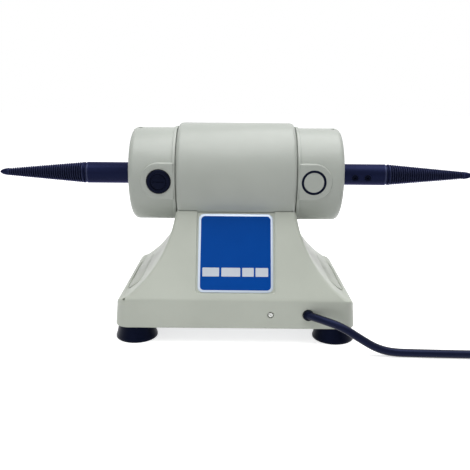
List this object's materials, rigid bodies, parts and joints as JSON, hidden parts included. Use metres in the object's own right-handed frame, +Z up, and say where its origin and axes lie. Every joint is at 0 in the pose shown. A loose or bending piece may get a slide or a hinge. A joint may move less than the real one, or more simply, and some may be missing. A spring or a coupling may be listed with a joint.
{
  "type": "dental polishing lathe",
  "caption": "Double-ended bench motor on a flared cast base with suction feet, with a long tapered threaded spindle at each end for polishing wheels.",
  "frame": {"origin": "on the bench, under the middle of the machine between its feet", "axes": "+X along the spindles towards the right one, +Z up, the nameplate faces -Y"},
  "size_m": [0.5086, 0.1719, 0.16],
  "materials": {
    "paint": "glossy enamel over a casting",
    "plate_steel": "plain sheet",
    "rubber": "moulded",
    "zinc_steel": "zinc plated",
    "black_steel": "black oxide",
    "bearing_steel": "ground",
    "lamination": "stacked laminations",
    "copper": "copper",
    "ferrite": "sintered",
    "carbon": "pressed carbon",
    "black_plastic": "moulded",
    "nameplate": "printed sheet with a bare border",
    "potentiometer": "plated",
    "board": "laminate",
    "tie": "woven strap",
    "plug_brass": "bright"
  },
  "bodies": {
    "base": {"base_casting": "paint", "motor_tube": "paint", "left_end_bell": "paint", "right_end_bell": "paint", "port_plug_front": "paint", "port_plug_rear": "paint", "bottom_plate": "plate_steel", "heat_sink": "plate_steel", "foot_front_left": "rubber", "foot_front_right": "rubber", "foot_rear_left": "rubber", "foot_rear_right": "rubber", "port_ring_front": "rubber", "port_ring_rear": "rubber", "cord": "rubber", "cord_coil": "rubber", "cord_bushing": "rubber", "foot_screws": "zinc_steel", "skirt_screw": "zinc_steel", "motor_mount_screws": "zinc_steel", "through_bolts": "zinc_steel", "through_bolt_nuts": "zinc_steel", "wave_washer": "zinc_steel", "potentiometer_nut": "zinc_steel", "board_posts": "zinc_steel", "left_bearing_outer_race": "bearing_steel", "right_bearing_outer_race": "bearing_steel", "brush_spring_front": "copper", "brush_spring_rear": "copper", "front_magnet": "ferrite", "rear_magnet": "ferrite", "carbon_brush_front": "carbon", "carbon_brush_rear": "carbon", "brush_cap_front": "black_plastic", "brush_cap_rear": "black_plastic", "switch_body": "black_plastic", "plug_body": "black_plastic", "brush_holder_front": "black_plastic", "brush_holder_rear": "black_plastic", "nameplate": "nameplate", "potentiometer": "potentiometer", "control_board": "board", "cord_tie": "tie", "plug_pins": "plug_brass"},
    "rotor": {"shaft": "bearing_steel", "armature_core": "lamination", "windings": "copper", "commutator": "copper", "left_bearing_inner_race": "bearing_steel", "right_bearing_inner_race": "bearing_steel", "left_spindle": "black_steel", "right_spindle": "black_steel", "left_set_screws": "black_steel", "right_set_screws": "black_steel"},
    "left_cage": {"left_bearing_ball_cage": "bearing_steel"},
    "right_cage": {"right_bearing_ball_cage": "bearing_steel"},
    "knob": {"speed_knob": "black_plastic", "potentiometer_stem": "potentiometer"},
    "rocker": {"switch_rocker": "black_plastic"}
  },
  "joints": [
    {"name": "rotor_spin", "type": "hinge", "parent": "base", "child": "rotor", "pos_m": [0, 0, 0.12], "axis": [1, 0, 0], "continuous": true},
    {"name": "left_cage_spin", "type": "hinge", "parent": "base", "child": "left_cage", "pos_m": [-0.072, 0, 0.12], "axis": [1, 0, 0], "continuous": true},
    {"name": "right_cage_spin", "type": "hinge", "parent": "base", "child": "right_cage", "pos_m": [0.072, 0, 0.12], "axis": [1, 0, 0], "continuous": true},
    {"name": "knob_turn", "type": "hinge", "parent": "base", "child": "knob", "pos_m": [-0.013, 0.0443, 0.0705], "axis": [0, 0.9048, 0.4258], "range_deg": [-270, 0]},
    {"name": "rocker_tilt", "type": "hinge", "parent": "base", "child": "rocker", "pos_m": [0.0155, 0.04158, 0.06922], "axis": [-1, 0, 0], "range_deg": [0, 20]}
  ],
  "couplings": [
    {"joint": "left_cage_spin", "follows": "rotor_spin", "ratio": 0.392},
    {"joint": "right_cage_spin", "follows": "rotor_spin", "ratio": 0.392}
  ]
}
